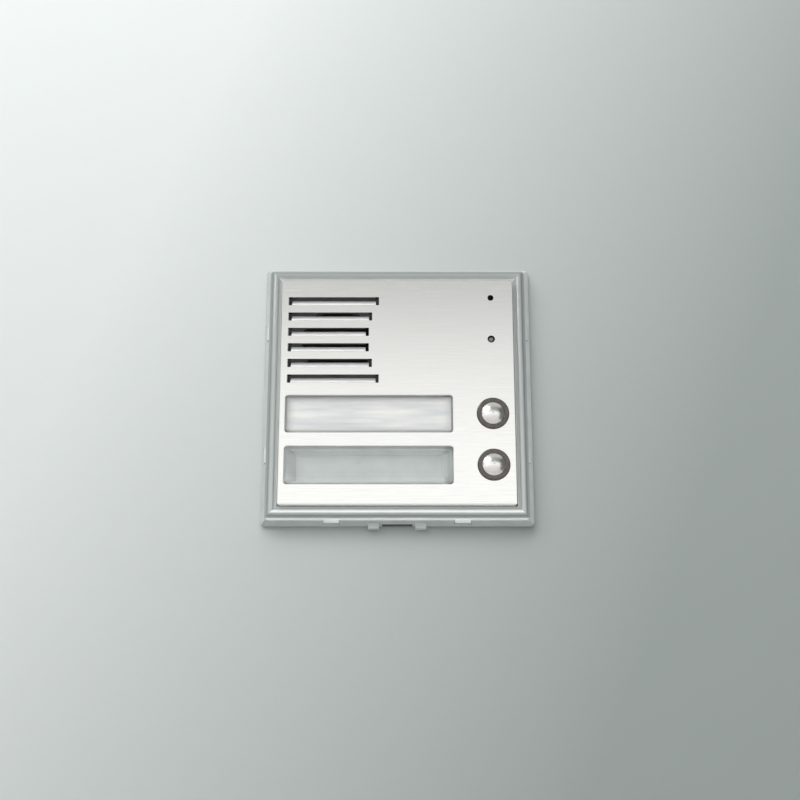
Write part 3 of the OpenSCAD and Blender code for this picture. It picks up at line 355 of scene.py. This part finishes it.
def moulded(name, color, roughness, grain=0.35 * MM, depth=0.01 * MM, **sockets):
    """Moulded plastic: spark-eroded grain, a little cloudiness and uneven gloss."""
    finish = Finish(name, color, roughness, **sockets)
    finish.ground = clouded(finish, color)
    finish.feed("Base Color", finish.ground)
    finish.feed("Roughness", finish.between(finish.noise(2 * MM, 4), roughness - 0.06, roughness + 0.08))
    finish.bump(finish.noise(grain, 2), depth)
    return finish


CARRIER_RIM_PAINTED_LIGHT = (PLATE_HALF - 1 * MM, PLATE_HALF - 0.8 * MM)
CARRIER_FRONT_LIGHT_AND_SHADE = (-3.5 * MM, -3 * MM)
CARRIER_LOW_PAINTED_LIGHT = (-1 * MM, -0.5 * MM)


def dark_body():
    """Dark housing plastic: painted shade darkens its front behind the slots, and painted light makes it pale
    round the windows and beside the bezel.
    """
    finish = moulded("body_grey", shade(64, 66, 68), 0.5, 0.9 * MM, 0.06 * MM)
    outwards, _, _ = finish.outwards()
    edge = finish.rise(outwards, *CARRIER_RIM_PAINTED_LIGHT)
    place = finish.split(finish.place)
    front = finish.fall(place["Y"], *CARRIER_FRONT_LIGHT_AND_SHADE)
    low = finish.fall(place["Z"], *CARRIER_LOW_PAINTED_LIGHT)
    # Painted light beside the bezel and round the windows, and painted shade in front behind the slots
    pale = finish.math("MAXIMUM", edge, finish.math("MULTIPLY", front, low))
    dark = finish.mixed(front, finish.ground, clouded(finish, shade(44, 45, 46)))
    finish.feed("Base Color", finish.mixed(pale, dark, clouded(finish, shade(205, 209, 207))))
    return finish


TRAY_LOWER_PAINTED_LIGHT = (0.22, 0.36)  # as a share of the tray's height
TRAY_RIGHT_PAINTED_SHADE = (0.94, 0.97)  # as a share of its width


def milky_tray():
    """Milky plastic with painted light along its lower side and painted shade at its right end."""
    finish = moulded("tray_milky", shade(206, 212, 210), 0.32, 0.5 * MM, 0.006 * MM)
    within = finish.split(finish.within)
    lower = finish.fall(within["Z"], *TRAY_LOWER_PAINTED_LIGHT)
    right = finish.rise(within["X"], *TRAY_RIGHT_PAINTED_SHADE)
    # Painted light along the lower side and painted shade at the right end
    pale, dull = (clouded(finish, tone) for tone in (shade(236, 241, 239), shade(172, 178, 176)))
    finish.feed("Base Color", finish.mixed(right, finish.mixed(lower, finish.ground, pale), dull))
    finish.scatter(0.7, (1, 1, 1), 3 * MM)
    return finish


def diffuse_lamp():
    """The cloudy plastic of a small lamp that is off."""
    finish = moulded("lamp_grey", shade(132, 133, 130), 0.35, 0.2 * MM, 0.001 * MM)
    finish.scatter(0.4, (1, 1, 1), 0.5 * MM)
    return finish


LENS_EDGE_PAINTED_SHADE = (0.112, 0.125)  # as a share of the lens's height


def clear_lens():
    """Clear window with painted shade along its lower edge. It throws next to no shadow on what is behind it."""
    color = shade(252, 252, 252)
    finish = Finish("clear_lens", color, 0.03, IOR=1.49, Transmission_Weight=1.0)
    height = finish.split(finish.within)["Z"]
    # Painted shade along the lower edge
    finish.feed("Base Color", finish.tint(height, shade(212, 216, 214), color, *LENS_EDGE_PAINTED_SHADE))
    finish.feed("Roughness", finish.between(finish.noise(2 * MM, 4), 0.02, 0.06))
    finish.bump(finish.noise(6 * MM, 1), 0.01 * MM)
    clear = finish.add("ShaderNodeBsdfTransparent")
    clear.inputs["Color"].default_value = (*shade(250, 250, 250), 1)
    finish.show(finish.add("ShaderNodeLightPath").outputs["Is Shadow Ray"], finish.shader, clear)
    return finish


PAPER_RIM_SHADE_X = (0.45, 0.5)  # from the middle, as a share of the card's width
PAPER_RIM_SHADE_Z = (0.36, 0.5)  # and of its height


def paper():
    """A blank card, a little streaky, with painted shade along its edges."""
    finish = Finish("card_white", shade(244, 244, 245), 0.85)
    streaks = finish.noise(2.6 * MM, 4, (9, 1, 1))
    clean = finish.tint(streaks, shade(222, 222, 225), shade(255, 254, 251))
    # Painted shade greys the card along its edges
    grey = finish.tint(streaks, shade(206, 207, 207), shade(220, 220, 219))
    middle = finish.split(finish.from_middle())
    across, upright = (finish.math("ABSOLUTE", middle[axis]) for axis in "XZ")
    rim = finish.math("MAXIMUM", finish.rise(across, *PAPER_RIM_SHADE_X), finish.rise(upright, *PAPER_RIM_SHADE_Z))
    finish.feed("Base Color", finish.mixed(rim, clean, grey))
    finish.bump(finish.noise(0.15 * MM, 4, (4, 1, 1)), 0.012 * MM)
    return finish


def metal(name, color, roughness, scratch=0.4 * MM):
    """Plain metal with fine scratches and an uneven polish."""
    finish = Finish(name, color, roughness, Metallic=1.0)
    finish.feed("Base Color", finish.cloudy(1.5 * MM, color, 0.08))
    finish.feed("Roughness", finish.between(finish.noise(scratch, 4), roughness * 0.75, roughness * 1.3))
    finish.bump(finish.noise(scratch / 2, 3, (8, 8, 1)), 0.002 * MM)
    return finish


def turned_metal(name, color, roughness, ring_count, depth, dirt):
    """Metal from the lathe: rings about its axis and a little grime."""
    finish = Finish(name, color, roughness, Metallic=1.0)
    finish.feed("Base Color", finish.cloudy(0.9 * MM, color, dirt))
    finish.feed("Roughness", finish.between(finish.noise(0.6 * MM, 4), roughness * 0.8, roughness * 1.25))
    finish.bump(finish.rings(ring_count), depth)
    return finish


FELT_END = (0.02, 0.04)  # where felt gives way to metal, as a share of the capsule's depth


def felted_capsule():
    """A spun can whose front is covered with black felt."""
    color = shade(205, 205, 203)
    finish = Finish("capsule_metal", color, 0.25, Metallic=1.0)
    depth = finish.split(finish.within)["Y"]
    finish.feed("Base Color", finish.tint(depth, shade(26, 26, 27), color, *FELT_END))
    finish.feed("Metallic", finish.rise(depth, *FELT_END))
    finish.feed("Roughness", finish.between(depth, 0.9, 0.25, *FELT_END))
    finish.bump(finish.rings(22), 0.006 * MM)
    return finish


def winding():
    """Turns of enamelled copper wire, side by side."""
    color = shade(190, 112, 66)
    finish = Finish("copper", color, 0.3, Metallic=1.0, Coat_Weight=0.5)
    wire = finish.bands(0.18 * MM, "Y")
    finish.feed("Base Color", finish.tint(wire, shade(110, 56, 30), color, 0.1, 0.7))
    finish.bump(wire, 0.05 * MM)
    return finish


def soft(name, color, cell):
    """Rubber or foam with fine pores."""
    finish = Finish(name, color, 0.85)
    finish.feed("Base Color", finish.cloudy(3 * MM, color, 0.15))
    finish.bump(finish.cells(cell), 0.3 * cell)
    return finish


def woven():
    """A black screen of crossed threads."""
    finish = Finish("screen_black", shade(30, 30, 32), 0.8, Sheen_Weight=0.2)
    weave = finish.math("MAXIMUM", finish.bands(0.5 * MM, "X"), finish.bands(0.5 * MM, "Z"))
    finish.feed("Base Color", finish.tint(weave, shade(8, 8, 9), shade(44, 44, 46), 0.2, 0.9))
    finish.bump(weave, 0.08 * MM)
    return finish


BOARD_BRICKS = {"Scale": 1, "Brick Width": 7 * MM, "Row Height": 2.2 * MM, "Mortar Size": 0.3 * MM}


def circuit_board():
    """Green solder mask over a pattern of raised traces."""
    mask = shade(24, 92, 58)
    trace = shade(46, 122, 78)
    finish = Finish("board_green", mask, 0.35, Coat_Weight=0.3, Coat_Roughness=0.1)
    upright = finish.add("ShaderNodeMapping")
    upright.inputs["Rotation"].default_value = (math.pi / 2, 0, 0)
    finish.link(finish.place, upright.inputs["Vector"])
    bricks = finish.add("ShaderNodeTexBrick")
    for socket, value in BOARD_BRICKS.items():
        bricks.inputs[socket].default_value = value
    finish.link(upright.outputs[0], bricks.inputs["Vector"])
    finish.feed("Base Color", finish.tint(bricks.outputs["Fac"], mask, trace, 0.2, 0.6))
    finish.bump(bricks.outputs["Fac"], 0.03 * MM)
    return finish


finishes = [
    satin_aluminium(),
    smoky_plastic(),
    moulded("frame_grey", shade(208, 213, 211), 0.45, 0.4 * MM, 0.012 * MM),
    dark_body(),
    moulded("louvre_white", shade(232, 232, 230), 0.4, 0.3 * MM, 0.006 * MM),
    clear_lens(),
    milky_tray(),
    paper(),
    turned_metal("polished_metal", shade(232, 230, 227), 0.24, 26, 0.001 * MM, 0.04),
    turned_metal("gunmetal", shade(102, 97, 92), 0.34, 30, 0.01 * MM, 0.3),
    metal("spring_steel", shade(190, 190, 192), 0.25),
    metal("screw_steel", shade(205, 204, 200), 0.3),
    soft("rubber_black", shade(44, 44, 45), 0.12 * MM),
    soft("foam_grey", shade(88, 90, 92), 0.35 * MM),
    woven(),
    moulded("nylon_white", shade(224, 221, 212), 0.4),
    moulded("black_plastic", shade(40, 40, 42), 0.4),
    moulded("red_plastic", shade(176, 44, 38), 0.4),
    moulded("blue_plastic", shade(54, 88, 160), 0.4),
    circuit_board(),
    moulded("terminal_grey", shade(150, 153, 152), 0.42),
    moulded("capacitor_sleeve", shade(48, 56, 104), 0.25, 0.6 * MM, 0.004 * MM, Coat_Weight=0.4),
    metal("basket_steel", shade(150, 150, 153), 0.4, 1.2 * MM),
    metal("magnet_grey", shade(128, 128, 131), 0.3),
    winding(),
    moulded("cone_paper", shade(46, 46, 47), 0.9, 0.5 * MM, 0.06 * MM),
    diffuse_lamp(),
    moulded("lamp_warm", shade(243, 232, 170), 0.3, 0.2 * MM, 0.004 * MM),
    felted_capsule(),
]
finish_of = {finish.material.name: finish.material for finish in finishes}

for subpart in frame["record"]["subparts"]:
    mesh = nodes[subpart["node"]].data
    mesh.materials.clear()
    mesh.materials.append(finish_of[subpart["material_slot"]])


# Return springs: round wire in place of the six-sided CAD coils

SPRING_WIRE = 0.6 * MM
SPRING_TURNS = 4
POINTS_A_TURN = 32
WIRE_SIDES = 12


def coil(name, low, high, wire, turns):
    """A closed tube of round wire, wound about Y to fill the box from low to high."""
    middle = (low + high) / 2
    radius = (high.x - low.x - wire) / 2
    start, end = low.y + wire / 2, high.y - wire / 2
    count = turns * POINTS_A_TURN
    form = bmesh.new()
    sections = []
    for i in range(count + 1):
        angle = 2 * math.pi * i / POINTS_A_TURN
        out = Vector((math.cos(angle), 0, math.sin(angle)))
        along = Vector((-math.sin(angle) * 2 * math.pi * radius, (end - start) / turns,
                        math.cos(angle) * 2 * math.pi * radius)).normalized()
        up = out.cross(along)
        at = Vector((middle.x, start + (end - start) * i / count, middle.z)) + radius * out
        sections.append([
            form.verts.new(at + wire / 2 * (math.cos(turn) * out + math.sin(turn) * up))
            for turn in (2 * math.pi * k / WIRE_SIDES for k in range(WIRE_SIDES))
        ])
    for one, two in zip(sections, sections[1:]):
        for k in range(WIRE_SIDES):
            after = (k + 1) % WIRE_SIDES
            form.faces.new((one[k], one[after], two[after], two[k])).smooth = True
    form.faces.new(reversed(sections[0]))
    form.faces.new(sections[-1])
    bmesh.ops.recalc_face_normals(form, faces=form.faces)
    mesh = bpy.data.meshes.new(name)
    form.to_mesh(mesh)
    form.free()
    piece = bpy.data.objects.new(name, mesh)
    scene.collection.objects.link(piece)
    return piece


for which in ("upper", "lower"):
    node = f"button_spring_{which}"
    low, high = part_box(node)
    spring = coil(f"return_spring_{which}", low, high, SPRING_WIRE, SPRING_TURNS)
    spring.data.materials.append(finish_of["spring_steel"])
    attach(spring, "panel")
    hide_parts(node)
    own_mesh(spring)


# Studio

ROOM = 6.0
STAGE_ROUGHNESS = 0.8
BACKDROP = shade(206, 210, 208)
FLOOR_Z = -0.6
FLOOR_GLOW = shade(234, 236, 235)
FLOOR_GLOW_SHARE = 0.65
WALL_Y = 0.4 * MM
WALL_HOLE = 53 * MM
# Painted light on the wall: lighter at the upper left, darker at the lower right
WALL_FADE = (3.4, 0, -1.4)
WALL_PAINTED_LIGHT = (shade(233, 237, 235), shade(170, 177, 174))
WORLD_LIGHT = shade(225, 228, 230)
WORLD_STRENGTH = 0.5
ONE_FACE = [(0, 1, 2, 3)]


def stage_piece(name, corners, faces, material):
    """A flat piece of the studio, which isn't part of the object."""
    mesh = bpy.data.meshes.new(name)
    mesh.from_pydata(corners, [], faces)
    mesh.materials.append(material)
    piece = bpy.data.objects.new(name, mesh)
    scene.collection.objects.link(piece)
    return piece


def oblong(first_x, last_x, first_y, last_y):
    """The corners of an oblong, in order round it."""
    return [(first_x, first_y), (last_x, first_y), (last_x, last_y), (first_x, last_y)]


def make_floor():
    """A pale floor that takes shadows; it glows a little where it is seen, to stay pale far from the lamps."""
    finish = Finish("floor_pale", shade(214, 216, 215), STAGE_ROUGHNESS)
    glow = finish.add("ShaderNodeEmission")
    glow.inputs["Color"].default_value = (*FLOOR_GLOW, 1)
    finish.show(finish.math("MULTIPLY", finish.seen(), FLOOR_GLOW_SHARE), finish.shader, glow)
    corners = [(x, y, FLOOR_Z) for x, y in oblong(-ROOM, ROOM, -ROOM, ROOM)]
    stage_piece("floor", corners, ONE_FACE, finish.material)


def make_wall():
    """A wall behind the fixing frame, open where the housing goes in and unseen from behind.

    Painted light: it fades from its first shade to its second along WALL_FADE, lighter at the upper left and
    darker at the lower right, and is halfway at the panel.
    """
    finish = Finish("wall_pale", shade(204, 208, 206), STAGE_ROUGHNESS)
    along = finish.add("ShaderNodeVectorMath", operation="DOT_PRODUCT")
    along.inputs[1].default_value = WALL_FADE
    finish.link(finish.place, along.inputs[0])
    faded = finish.math("ADD", along.outputs["Value"], 0.5)
    finish.feed("Base Color", finish.tint(faded, *WALL_PAINTED_LIGHT, 0, 1))
    behind = finish.math("MULTIPLY", finish.add("ShaderNodeNewGeometry").outputs["Backfacing"],
                         finish.add("ShaderNodeLightPath").outputs["Is Camera Ray"])
    finish.show(behind, finish.shader, finish.add("ShaderNodeBsdfTransparent"))
    hole = oblong(-WALL_HOLE, WALL_HOLE, -WALL_HOLE, WALL_HOLE)
    corners = [(x, WALL_Y, z) for x, z in hole + oblong(-ROOM, ROOM, FLOOR_Z, ROOM)]
    faces = [(i, 4 + i, 4 + (i + 1) % 4, (i + 1) % 4) for i in range(4)]
    stage_piece("wall", corners, faces, finish.material)


def make_world():
    """Even light from all round, in front of a pale backdrop."""
    world = bpy.data.worlds.new("studio")
    world.use_nodes = True
    shading = Shading(world.node_tree, "World Output")
    light = shading.tree.nodes["Background"]
    light.inputs["Color"].default_value = (*WORLD_LIGHT, 1)
    light.inputs["Strength"].default_value = WORLD_STRENGTH
    pale = shading.add("ShaderNodeBackground")
    pale.inputs["Color"].default_value = (*BACKDROP, 1)
    shading.show(shading.seen(), light, pale)
    scene.world = world


def choose(lamp, pieces, included):
    """Let a lamp or a glowing board light only these pieces, or all but these."""
    chosen = bpy.data.collections.new(f"{lamp.name}_chosen")
    for piece in pieces:
        chosen.objects.link(nodes.get(piece) or bpy.data.objects[piece])
    for entry in chosen.collection_objects:
        entry.light_linking.link_state = "INCLUDE" if included else "EXCLUDE"
    lamp.light_linking.receiver_collection = chosen


# Glowing boards, which show in reflections only

DOMES = ("button_cap_upper", "button_cap_lower")
CARD_X = (-1.9, 3.0)
CARD_Y = -0.9
CARD_Z = (-0.58, 1.3)
CARD_GLOW = [  # height and strength
    (-0.58, 0.8), (-0.25, 0.84), (-0.08, 0.97), (0.0, 1.06), (0.1, 1.26), (0.2, 1.32),
    (0.28, 1.2), (0.34, 0.98), (0.4, 0.58), (0.5, 0.36), (0.9, 0.36), (1.3, 0.36),
]
CARD_FLAG = (0.66, 1.0)  # from where to where along X the domes' front board goes dark
CARD_DIM = 0.16
CARD_GAP = 0.01
SIDE_X = 1.2


def glowing(name, see_through):
    """A material that only gives light, and may let rays through."""
    material = new_material(name)
    shading = Shading(material.node_tree)
    shading.tree.nodes.remove(shading.tree.nodes["Principled BSDF"])
    glow = shading.add("ShaderNodeEmission")
    surface = glow.outputs[0]
    if see_through:
        both = shading.add("ShaderNodeAddShader")
        shading.link(surface, both.inputs[0])
        shading.link(shading.add("ShaderNodeBsdfTransparent").outputs[0], both.inputs[1])
        surface = both.outputs[0]
    shading.link(surface, shading.surface)
    return material, shading, glow


def card_glow(name, flagged):
    """Light that changes with height. A flagged card goes dark at the right and lets rays through."""
    material, shading, glow = glowing(name, flagged)
    place = shading.split(shading.place)
    low, high = CARD_Z
    top = max(value for _, value in CARD_GLOW)
    stops = [((z - low) / (high - low), [value / top] * 3) for z, value in CARD_GLOW]
    shading.link(shading.steps(shading.rise(place["Z"], low, high), stops), glow.inputs["Color"])
    glow.inputs["Strength"].default_value = top
    if flagged:
        shading.link(shading.between(place["X"], top, CARD_DIM, *CARD_FLAG), glow.inputs["Strength"])
    return material


def side_glow(name, color, see_through):
    """Light of one colour."""
    material, _, glow = glowing(name, see_through)
    glow.inputs["Color"].default_value = (*color, 1)
    return material


def make_boards():
    """A broad board in front, dim at the height that the plate's top mirrors, and one at the right.

    The domes have two boards of their own, which are dark at the right.
    """
    for for_domes in (True, False):
        name = "dome" if for_domes else "light"
        back = 0 if for_domes else CARD_GAP
        side_color = [CARD_DIM] * 3 if for_domes else BACKDROP
        front_corners = [(x, CARD_Y - back, z) for x, z in oblong(*CARD_X, *reversed(CARD_Z))]
        side_corners = [(SIDE_X + back, y, z) for y, z in oblong(CARD_Y, WALL_Y, *CARD_Z)]
        front_material = card_glow(f"{name}_card", for_domes)
        front = stage_piece(f"{name}_card", front_corners, ONE_FACE, front_material)
        side_material = side_glow(f"{name}_side", side_color, for_domes)
        side = stage_piece(f"{name}_side", side_corners, ONE_FACE, side_material)
        side.visible_shadow = False
        for board in (front, side):
            board.visible_camera = False
            board.visible_diffuse = False
            board.visible_transmission = False
            choose(board, DOMES, for_domes)


def softbox(name, at, size, power, target=(0, 0, 0), only=(), spare=(), glossy=True):
    """An oblong lamp that faces a target, and shines on the nodes in only or not on those in spare."""
    light = bpy.data.lights.new(name, "AREA")
    light.shape = "RECTANGLE"
    light.size, light.size_y = size
    light.energy = power
    lamp = bpy.data.objects.new(name, light)
    lamp.location = at
    lamp.rotation_euler = (Vector(target) - Vector(at)).to_track_quat("-Z", "Y").to_euler()
    lamp.visible_camera = False
    lamp.visible_glossy = glossy
    lamp.visible_transmission = False
    scene.collection.objects.link(lamp)
    if only or spare:
        choose(lamp, only or spare, bool(only))


make_floor()
make_wall()
make_boards()
softbox("key_light", at=(-0.6, -0.7, 0.65), size=(0.6, 0.6), power=6)
softbox("top_light", at=(0.15, -0.5, 0.9), size=(0.6, 0.6), power=2, glossy=False)
softbox("floor_light", at=(0.1, -0.6, -0.5), size=(0.9, 0.5), power=1.5,
        spare=("fixing_frame", "wall"), glossy=False)
softbox("ridge_light", at=(0, -0.1, -0.22), size=(0.3, 0.06), power=0.15, target=(0, -0.006, -0.055),
        only=("bezel",))
softbox("vane_light", at=(-0.1, -0.7, 0.05), size=(0.4, 0.4), power=2.1, target=(-0.02, 0, 0.02),
        only=("louvre_grille",), glossy=False)
softbox("tray_light", at=(-0.17, -0.12, -0.22), size=(0.1, 0.1), power=0.16, target=(-0.012, 0, -0.03),
        only=("card_tray_upper", "card_tray_lower"), glossy=False)
softbox("edge_light", at=(0, -0.6, -0.3), size=(1.0, 0.1), power=6, target=(0, 0, -0.05),
        only=("front_plate", "carrier"), glossy=False)
softbox("wall_light", at=(-0.15, -0.6, 0.75), size=(0.4, 0.4), power=2, only=("wall",), glossy=False)
softbox("side_light", at=(0.5, -0.4, 0.1), size=(0.3, 0.3), power=0.6, only=("fixing_frame",), glossy=False)
softbox("rear_light", at=(-0.6, 0.7, 0.6), size=(0.6, 0.6), power=13)
make_world()


# Camera: a little below the panel, square to it from left to right

CAMERA_TARGET = Vector((1.17 * MM, -9 * MM, -4.68 * MM))
CAMERA_DISTANCE = 608 * MM
CAMERA_BELOW = math.radians(17.2)
CAMERA_LENS = 64.5  # in mm, as is the sensor
CAMERA_SENSOR = 36
CAMERA_NEAR = 10 * MM

camera_data = bpy.data.cameras.new("camera")
camera_data.lens = CAMERA_LENS
camera_data.sensor_width = CAMERA_SENSOR
camera_data.clip_start = CAMERA_NEAR
camera = bpy.data.objects.new("camera", camera_data)
towards_camera = Vector((0, -math.cos(CAMERA_BELOW), -math.sin(CAMERA_BELOW)))
camera.location = CAMERA_TARGET + CAMERA_DISTANCE * towards_camera
camera.rotation_euler = (-towards_camera).to_track_quat("-Z", "Y").to_euler()
scene.collection.objects.link(camera)
scene.camera = camera

scene.view_settings.view_transform = "Standard"
